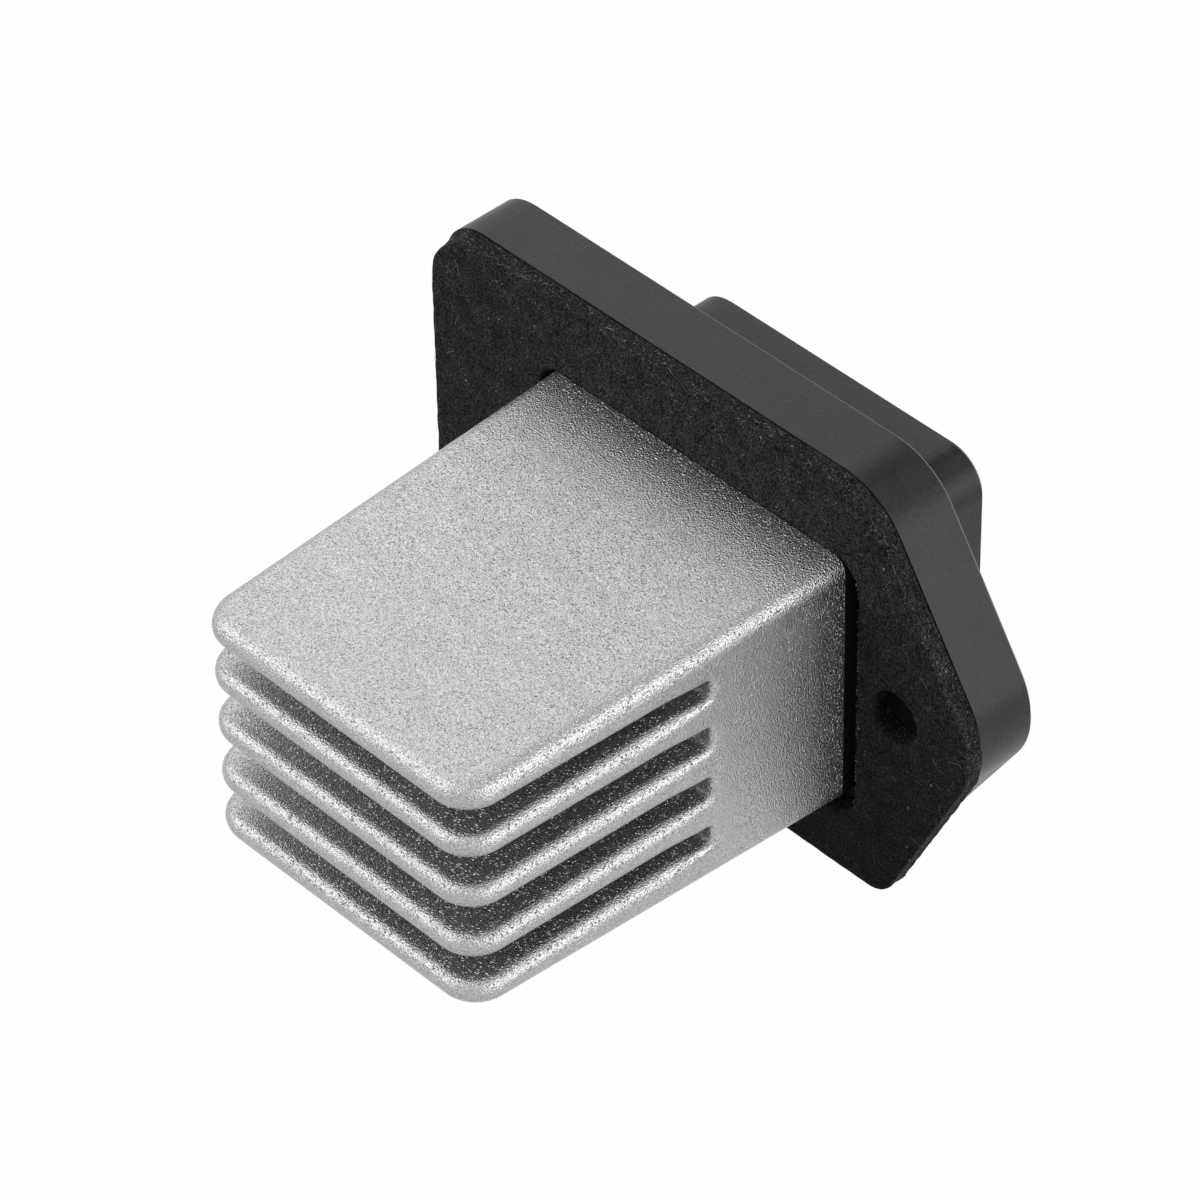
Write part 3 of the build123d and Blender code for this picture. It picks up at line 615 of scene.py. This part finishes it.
# Each thread starts from a random point of a loop, moved across it by a random or a fixed depth.
def foamThreads(size):
    low, high = nodeBox("foam_gasket")
    outer, window, holes = gasketLoops(gasket)
    random = np.random.default_rng(size["seed"])
    shortest, longer = size["length"]
    edgeSeed, faceSeed, windowSeed = size["bendSeeds"]
    # Threads on the cut edges of the outline
    pick = random.integers(0, len(outer), size["edgeCount"])
    across = loopNormal(outer)[pick]
    y = random.uniform(low[1] + size["edgeMargin"], high[1] - size["edgeMargin"], len(pick))
    near = nearCorner(outer, gasket)[pick]
    nearFront = (high[1] - y) / (high[1] - low[1])
    pull = gasket["cornerPull"] * nearFront ** gasket["pullEase"] + gasket["cornerHollow"]
    start = inPlane(outer[pick] - across * (gasket["hollow"] + near * pull)[:, None], y)
    up = inPlane(across, 0.0)
    run = towards(-across[:, 1], random.normal(0, size["edgeLean"], len(pick)), across[:, 0])
    length = shortest + longer * random.uniform(0, 1, len(pick)) ** size["lengthEase"] * size["edgeShare"]
    edgePart = threadTubes(start, run, np.cross(up, run), up, length, size, edgeSeed)
    # Threads on the front face, most of them close to the rim
    pick = random.integers(0, len(outer), size["faceCount"])
    depth = size["faceMargin"] + size["rimWidth"] * random.uniform(0, 1, len(pick)) ** size["rimEase"]
    depth += gasket["cornerPull"] * nearCorner(outer, gasket)[pick]
    plan = outer[pick] - loopNormal(outer)[pick] * depth[:, None]
    clear = ~insideLoop(plan, window) & insideLoop(plan, outer)
    for hole in holes:
        clear &= ~insideLoop(plan, hole)
    plan = plan[clear]
    start = inPlane(plan, low[1] + size["faceDepth"])
    heading = random.uniform(0, 2 * math.pi, len(plan))
    run = np.stack([np.cos(heading), np.zeros(len(plan)), np.sin(heading)], axis=1)
    up = np.tile([0.0, -1.0, 0.0], (len(plan), 1))
    length = shortest + longer * random.uniform(0, 1, len(plan)) ** size["lengthEase"]
    facePart = threadTubes(start, run, np.cross(up, run), up, length, size, faceSeed)
    # Short threads along the upright edges of the window
    upright = np.flatnonzero(np.abs(loopNormal(window)[:, 0]) > size["upright"])
    pick = upright[random.integers(0, len(upright), size["windowCount"])]
    plan = window[pick] + loopNormal(window)[pick] * size["windowInset"]
    start = inPlane(plan, low[1] + size["windowDepth"])
    up = np.tile([0.0, -1.0, 0.0], (len(pick), 1))
    run = towards(random.normal(0, size["windowLean"], len(pick)), np.zeros(len(pick)), np.ones(len(pick)))
    length = random.uniform(*size["windowLength"], len(pick))
    thicker = {**size, "thickness": size["windowThickness"]}
    windowPart = threadTubes(start, run, np.cross(up, run), up, length, thicker, windowSeed)
    return [edgePart, facePart, windowPart]


# Joins the tubes, which keep inside the gasket's own box.
def buildThreads(name, parts):
    points, faces, start = [], [], 0
    for corners, walls, ends in parts:
        points.append(corners)
        faces += (walls + start).tolist() + (ends + start).tolist()
        start += len(corners)
    low, high = nodeBox("foam_gasket")
    return newPiece(name, np.clip(np.concatenate(points), low, high), faces, False)


foamFibres = buildThreads("foam_fibres", foamThreads(threads))
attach(foamFibres, "root")
print("foam fibres made")


# Shared node groups

def node(tree, kind, **settings):
    made = tree.nodes.new(kind)
    for key, value in settings.items():
        setattr(made, key, value)
    return made


def newGroup(name, inputs, outputs):
    group = bpy.data.node_groups.new(name, "ShaderNodeTree")
    for label, kind, value in inputs:
        socket = group.interface.new_socket(label, in_out="INPUT", socket_type=kind)
        if value is not None:
            socket.default_value = value
    for label, kind in outputs:
        group.interface.new_socket(label, in_out="OUTPUT", socket_type=kind)
    return group, group.nodes.new("NodeGroupInput"), group.nodes.new("NodeGroupOutput")


def feed(tree, value, socket):  # a fixed value goes into the socket, an output is linked to it
    if isinstance(value, (int, float, tuple)):
        socket.default_value = value
    else:
        tree.links.new(value, socket)


def calculate(tree, operation, first, second, clamp=False):
    made = node(tree, "ShaderNodeMath", operation=operation, use_clamp=clamp)
    feed(tree, first, made.inputs[0])
    feed(tree, second, made.inputs[1])
    return made.outputs[0]


def noiseAt(tree, vector, scale, detail, roughness):
    made = node(tree, "ShaderNodeTexNoise", noise_dimensions="3D")
    for label, value in (("Vector", vector), ("Scale", scale), ("Detail", detail), ("Roughness", roughness)):
        feed(tree, value, made.inputs[label])
    return made.outputs["Fac"]


# Grain of a blasted or moulded surface: fine bumps, and a tone that follows them and a broader unevenness.
def makeGrain():
    group, start, end = newGroup(
        "surfaceGrain",
        [("Vector", "NodeSocketVector", None), ("Grain Scale", "NodeSocketFloat", 3500.0),
         ("Broad Scale", "NodeSocketFloat", 350.0), ("Broad Share", "NodeSocketFloat", 0.3)],
        [("Height", "NodeSocketFloat"), ("Tone", "NodeSocketFloat")],
    )
    vector, broadShare = start.outputs["Vector"], start.outputs["Broad Share"]
    fine = noiseAt(group, vector, start.outputs["Grain Scale"], detail=1.0, roughness=0.5)
    broad = noiseAt(group, vector, start.outputs["Broad Scale"], detail=3.0, roughness=0.55)
    broadPart = calculate(group, "MULTIPLY", broad, broadShare)
    finePart = calculate(group, "MULTIPLY", fine, calculate(group, "SUBTRACT", 1.0, broadShare))
    tone = calculate(group, "ADD", finePart, broadPart)
    group.links.new(fine, end.inputs["Height"])
    group.links.new(tone, end.inputs["Tone"])
    return group


# Specks: small dots where a cell's centre is near and its random number is low, and a dome over each.
def makeSpecks():
    group, start, end = newGroup(
        "specks",
        [("Vector", "NodeSocketVector", None), ("Scale", "NodeSocketFloat", 1200.0),
         ("Size", "NodeSocketFloat", 0.25), ("Share", "NodeSocketFloat", 0.05)],
        [("Mask", "NodeSocketFloat"), ("Dome", "NodeSocketFloat")],
    )
    cells = node(group, "ShaderNodeTexVoronoi", feature="F1", voronoi_dimensions="3D")
    group.links.new(start.outputs["Vector"], cells.inputs["Vector"])
    group.links.new(start.outputs["Scale"], cells.inputs["Scale"])
    split = node(group, "ShaderNodeSeparateColor")
    group.links.new(cells.outputs["Color"], split.inputs["Color"])
    chosen = calculate(group, "LESS_THAN", split.outputs["Red"], start.outputs["Share"])
    reach = calculate(group, "MULTIPLY", start.outputs["Size"], split.outputs["Green"])
    near = calculate(group, "LESS_THAN", cells.outputs["Distance"], reach)
    group.links.new(calculate(group, "MULTIPLY", chosen, near), end.inputs["Mask"])
    share = calculate(group, "DIVIDE", cells.outputs["Distance"], reach)
    slope = calculate(group, "SUBTRACT", 1.0, share, clamp=True)
    group.links.new(calculate(group, "MULTIPLY", chosen, slope), end.inputs["Dome"])
    return group


grainGroup = makeGrain()
speckGroup = makeSpecks()


# Materials

def placeGroup(tree, group, vector, **values):
    made = node(tree, "ShaderNodeGroup", node_tree=group)
    tree.links.new(vector, made.inputs["Vector"])
    for label, value in values.items():
        made.inputs[label.replace("_", " ")].default_value = value
    return made


def placeGrain(tree, where, look):
    return placeGroup(tree, grainGroup, where, Grain_Scale=look["grainScale"], Broad_Scale=look["broadScale"],
                      Broad_Share=look["broadShare"])


def placeSpecks(tree, where, specks):
    scale, size, share = specks
    return placeGroup(tree, speckGroup, where, Scale=scale, Size=size, Share=share)


def mixColour(tree, factor, first, second):
    made = node(tree, "ShaderNodeMix", data_type="RGBA", clamp_factor=True)
    for index, value in ((0, factor), (6, first), (7, second)):
        feed(tree, value, made.inputs[index])
    return made.outputs[2]


def spread(tree, value, low, high, toLow=0.0, toHigh=1.0):  # a range stretched to another one
    made = node(tree, "ShaderNodeMapRange", clamp=True)
    tree.links.new(value, made.inputs["Value"])
    for label, number in (("From Min", low), ("From Max", high), ("To Min", toLow), ("To Max", toHigh)):
        made.inputs[label].default_value = number
    return made.outputs["Result"]


def grainColour(tree, grain, look):  # from the dark tone to the light one as the grain crosses its range
    tone = spread(tree, grain.outputs["Tone"], *look["toneRange"])
    return mixColour(tree, tone, look["dark"], look["light"])


def grey(level):
    return (level, level, level, 1.0)


def newMaterial(name, metallic, roughness):
    material = bpy.data.materials.new(name)
    material.use_nodes = True
    tree = material.node_tree
    shader = tree.nodes["Principled BSDF"]
    shader.inputs["Metallic"].default_value = metallic
    shader.inputs["Roughness"].default_value = roughness
    where = node(tree, "ShaderNodeTexCoord").outputs["Object"]
    return material, tree, shader, where


def addBump(tree, shader, height, look):  # look's bump is how high the height's 1 is
    bump = node(tree, "ShaderNodeBump")
    bump.inputs["Strength"].default_value = look["bumpStrength"]
    bump.inputs["Distance"].default_value = look["bump"] * mm
    tree.links.new(height, bump.inputs["Height"])
    tree.links.new(bump.outputs["Normal"], shader.inputs["Normal"])


# In each look the scales count per metre, specks are their scale, size and share, and bump is millimetres.
castLook = {
    "dark": grey(0.34), "light": grey(0.54), "toneRange": (0.34, 0.66),
    "roughness": 0.31, "metallic": 0.93,
    "grainScale": 6200.0, "broadScale": 420.0, "broadShare": 0.08,
    "pits": (700.0, 0.16, 0.012), "pit": grey(0.06),
    "glints": (5400.0, 0.8, 0.34), "glint": 1.4,  # small facets that catch the light, and their height
    "bump": 0.12, "bumpStrength": 0.8,
}


def castAluminium(look):
    material, tree, shader, where = newMaterial("castAluminium", look["metallic"], look["roughness"])
    grain = placeGrain(tree, where, look)
    pits = placeSpecks(tree, where, look["pits"])
    colour = mixColour(tree, pits.outputs["Mask"], grainColour(tree, grain, look), look["pit"])
    tree.links.new(colour, shader.inputs["Base Color"])
    glints = placeSpecks(tree, where, look["glints"])
    raised = calculate(tree, "MULTIPLY", glints.outputs["Dome"], look["glint"])
    addBump(tree, shader, calculate(tree, "ADD", grain.outputs["Height"], raised), look)
    return material


plasticLook = {
    "dark": grey(0.030), "light": grey(0.048), "toneRange": (0.36, 0.64),
    "roughness": 0.38, "shine": 0.22,
    "grainScale": 2600.0, "broadScale": 260.0, "broadShare": 0.5,
    "dust": (500.0, 0.07, 0.05), "dustGrey": grey(0.22),
    "bump": 0.045, "bumpStrength": 0.6,
}


def blackPlastic(look):
    material, tree, shader, where = newMaterial("blackPlastic", 0.0, look["roughness"])
    shader.inputs["Specular IOR Level"].default_value = look["shine"]
    grain = placeGrain(tree, where, look)
    dust = placeSpecks(tree, where, look["dust"])
    colour = mixColour(tree, dust.outputs["Mask"], grainColour(tree, grain, look), look["dustGrey"])
    tree.links.new(colour, shader.inputs["Base Color"])
    addBump(tree, shader, grain.outputs["Height"], look)
    return material


foamLook = {
    "dark": grey(0.008), "light": grey(0.068), "toneRange": (0.40, 0.60),
    "roughness": 0.9, "shine": 0.10,
    "grainScale": 5200.0, "broadScale": 500.0, "broadShare": 0.2,
    "cells": {"grainScale": 5600.0, "broadScale": 500.0, "broadShare": 0.25},  # lighter walls of cut cells
    "cellRange": (0.62, 0.72),
    "points": (1500.0, 0.2, 0.06), "cellGrey": grey(0.42),
    "bump": 0.12, "bumpStrength": 0.9,
}


def blackFoam(look):
    material, tree, shader, where = newMaterial("blackFoam", 0.0, look["roughness"])
    shader.inputs["Specular IOR Level"].default_value = look["shine"]
    grain = placeGrain(tree, where, look)
    cells = placeGrain(tree, where, look["cells"])
    walls = spread(tree, cells.outputs["Tone"], *look["cellRange"])
    colour = mixColour(tree, walls, grainColour(tree, grain, look), look["cellGrey"])
    points = placeSpecks(tree, where, look["points"])
    colour = mixColour(tree, points.outputs["Mask"], colour, look["cellGrey"])
    tree.links.new(colour, shader.inputs["Base Color"])
    addBump(tree, shader, grain.outputs["Height"], look)
    return material


fibreLook = {
    "dark": grey(0.10), "light": grey(0.42), "toneRange": (0.38, 0.62),
    "roughness": 0.8,
    "grainScale": 3000.0, "broadScale": 900.0, "broadShare": 0.7,
}


def foamFibre(look):
    material, tree, shader, where = newMaterial("foamFibre", 0.0, look["roughness"])
    tree.links.new(grainColour(tree, placeGrain(tree, where, look), look), shader.inputs["Base Color"])
    return material


# Finishes of the small parts: name, dark and light tone, metallic, roughness, grain scale, bump
smallFinishes = {
    "tinned_blade": ("tinnedBlade", (0.55, 0.54, 0.50, 1), (0.68, 0.67, 0.63, 1), 0.9, 0.34, 900.0, 0.008),
    "zinc_screw": ("zincScrew", (0.40, 0.41, 0.42, 1), (0.58, 0.58, 0.57, 1), 0.9, 0.38, 1200.0, 0.010),
    "pad_grey": ("greyPad", (0.32, 0.34, 0.35, 1), (0.42, 0.44, 0.45, 1), 0.0, 0.8, 2200.0, 0.012),
    "tinned_tab": ("dullTin", (0.48, 0.48, 0.47, 1), (0.62, 0.62, 0.60, 1), 0.85, 0.45, 1500.0, 0.006),
    "component_black": (
        "mouldedEpoxy", (0.018, 0.018, 0.019, 1), (0.034, 0.034, 0.035, 1), 0.0, 0.6, 2400.0, 0.012),
    "bush_white": ("whiteNylon", (0.66, 0.65, 0.60, 1), (0.76, 0.75, 0.70, 1), 0.0, 0.5, 1500.0, 0.006),
    "can_aluminium": ("drawnCan", (0.60, 0.60, 0.60, 1), (0.72, 0.72, 0.72, 1), 0.9, 0.3, 1100.0, 0.004),
    "ceramic_brown": ("brownCeramic", (0.26, 0.19, 0.12, 1), (0.36, 0.28, 0.19, 1), 0.0, 0.5, 1800.0, 0.006),
    "board_green": ("solderMask", (0.018, 0.10, 0.045, 1), (0.03, 0.15, 0.07, 1), 0.0, 0.35, 700.0, 0.006),
}
smallLook = {
    "toneRange": (0.36, 0.64), "broadShare": 0.5, "bumpStrength": 0.7,
    "broader": 8,  # times that the unevenness is broader than the grain
}


def smallFinish(name, dark, light, metallic, roughness, scale, bump):
    look = {**smallLook, "dark": dark, "light": light, "bump": bump,
            "grainScale": scale, "broadScale": scale / smallLook["broader"]}
    material, tree, shader, where = newMaterial(name, metallic, roughness)
    grain = placeGrain(tree, where, look)
    tree.links.new(grainColour(tree, grain, look), shader.inputs["Base Color"])
    addBump(tree, shader, grain.outputs["Height"], look)
    return material


finishes = {
    "cast_aluminium": castAluminium(castLook),
    "black_plastic": blackPlastic(plasticLook),
    "foam": blackFoam(foamLook),
}
for slot, look in smallFinishes.items():
    finishes[slot] = smallFinish(*look)


def paint(piece, material):
    piece.data.materials.clear()
    piece.data.materials.append(material)


for entry in frame["record"]["subparts"]:
    paint(frame["nodes"][entry["node"]], finishes[entry["material_slot"]])
paint(finnedSink, finishes["cast_aluminium"])
paint(foamSheet, finishes["foam"])
paint(foamFibres, foamFibre(fibreLook))
print("materials made")


# Floor, light and camera

studio = {
    "floorSize": 1.2,
    "floorGap": 0.00005,  # below the lowest point
    "floorGrey": 0.2,  # for the light it throws back
    "floorWhite": 0.99,  # how white it is where it is seen
    "worldStrength": 0.08,  # for the light it gives; seen directly it is white
    "target": (0.0, -0.02, 0.0),
    # name, place, width and height, brightness where it is seen
    "lamps": [
        ("topPanel", (-0.42, 0.30, 0.46), (0.46, 0.46), 1.1),
        ("sidePanel", (0.60, 0.20, 0.10), (0.62, 0.52), 2.8),
        ("fillPanel", (-0.32, -0.42, 0.34), (0.50, 0.50), 1.9),
    ],
    # name, place, width and height
    "flags": [("darkFlag", (-0.05, 0.32, 0.52), (0.16, 0.30))],
    "flagGrey": 0.01,
}


def buildBoard(name, corners, material):
    mesh = bpy.data.meshes.new(name)
    mesh.from_pydata(corners, [], [(0, 1, 2, 3)])
    board = bpy.data.objects.new(name, mesh)
    bpy.context.scene.collection.objects.link(board)
    paint(board, material)
    return board


def seenDirectly(tree):  # 1 for rays from the camera, and for those that come by a mirror or through glass
    path = node(tree, "ShaderNodeLightPath")
    direct = calculate(tree, "MAXIMUM", path.outputs["Is Camera Ray"], path.outputs["Is Glossy Ray"])
    return calculate(tree, "MAXIMUM", direct, path.outputs["Is Transmission Ray"])


def buildFloor(size):
    material = bpy.data.materials.new("whiteFloor")
    material.use_nodes = True
    tree = material.node_tree
    tree.nodes.clear()
    end = node(tree, "ShaderNodeOutputMaterial")
    diffuse = node(tree, "ShaderNodeBsdfDiffuse")
    diffuse.inputs["Color"].default_value = grey(size["floorGrey"])
    glow = node(tree, "ShaderNodeEmission")
    mix = node(tree, "ShaderNodeMixShader")
    tree.links.new(calculate(tree, "MULTIPLY", seenDirectly(tree), size["floorWhite"]), mix.inputs["Fac"])
    tree.links.new(diffuse.outputs[0], mix.inputs[1])
    tree.links.new(glow.outputs[0], mix.inputs[2])
    tree.links.new(mix.outputs[0], end.inputs["Surface"])
    half = size["floorSize"] / 2
    z = partBounds[0][2] - size["floorGap"]
    floor = buildBoard(
        "studio_floor", [(-half, -half, z), (half, -half, z), (half, half, z), (-half, half, z)], material)


def buildWorld(size):
    world = bpy.data.worlds.new("studioWorld")
    bpy.context.scene.world = world
    world.use_nodes = True
    tree = world.node_tree
    background = tree.nodes["Background"]
    strength = spread(tree, seenDirectly(tree), 0.0, 1.0, size["worldStrength"], 1.0)
    tree.links.new(strength, background.inputs["Strength"])
    background.inputs["Color"].default_value = (1, 1, 1, 1)


def aimAt(place, target):
    turn = (Vector(target) - Vector(place)).to_track_quat("-Z", "Y")
    return Matrix.Translation(place) @ turn.to_matrix().to_4x4()


# A panel's energy is worked out so that the panel itself shows at its brightness.
def buildLamps(size):
    for name, place, (width, height), brightness in size["lamps"]:
        light = bpy.data.lights.new(name, "AREA")
        light.shape = "RECTANGLE"
        light.size, light.size_y = width, height
        light.energy = brightness * math.pi * width * height
        lamp = bpy.data.objects.new(name, light)
        lamp.matrix_world = aimAt(place, size["target"])
        bpy.context.scene.collection.objects.link(lamp)


# Dark boards out of view that hold light back, as a photographer's flags do.
def buildFlags(size):
    black = bpy.data.materials.new("flagBlack")
    black.use_nodes = True
    shader = black.node_tree.nodes["Principled BSDF"]
    shader.inputs["Base Color"].default_value = grey(size["flagGrey"])
    shader.inputs["Roughness"].default_value = 1.0
    for name, place, (width, height) in size["flags"]:
        x, y = width / 2, height / 2
        aim = aimAt(place, size["target"])
        corners = [aim @ Vector(p) for p in ((-x, -y, 0), (x, -y, 0), (x, y, 0), (-x, y, 0))]
        flag = buildBoard(name, corners, black)
        flag.visible_camera = False
        flag.visible_shadow = False


view = {
    "place": (0.304452, -0.293783, 0.364733),
    "right": (0.68681298, 0.72668569, -0.01469102),
    "up": (-0.46910966, 0.45862765, 0.75471638),
    "lens": 192.68,
    "sensor": 36,
    "clip": (0.01, 20),
}


def buildCamera(size):
    lens = bpy.data.cameras.new("photoCamera")
    lens.lens = size["lens"]
    lens.sensor_width = size["sensor"]
    lens.clip_start, lens.clip_end = size["clip"]
    camera = bpy.data.objects.new("photoCamera", lens)
    right, up = Vector(size["right"]), Vector(size["up"])
    turn = Matrix((right, up, right.cross(up))).transposed().to_4x4()
    camera.matrix_world = Matrix.Translation(size["place"]) @ turn
    bpy.context.scene.collection.objects.link(camera)
    bpy.context.scene.camera = camera


buildFloor(studio)
buildWorld(studio)
buildLamps(studio)
buildFlags(studio)
buildCamera(view)
bpy.context.scene.view_settings.view_transform = "Standard"
print("floor, light and camera set")
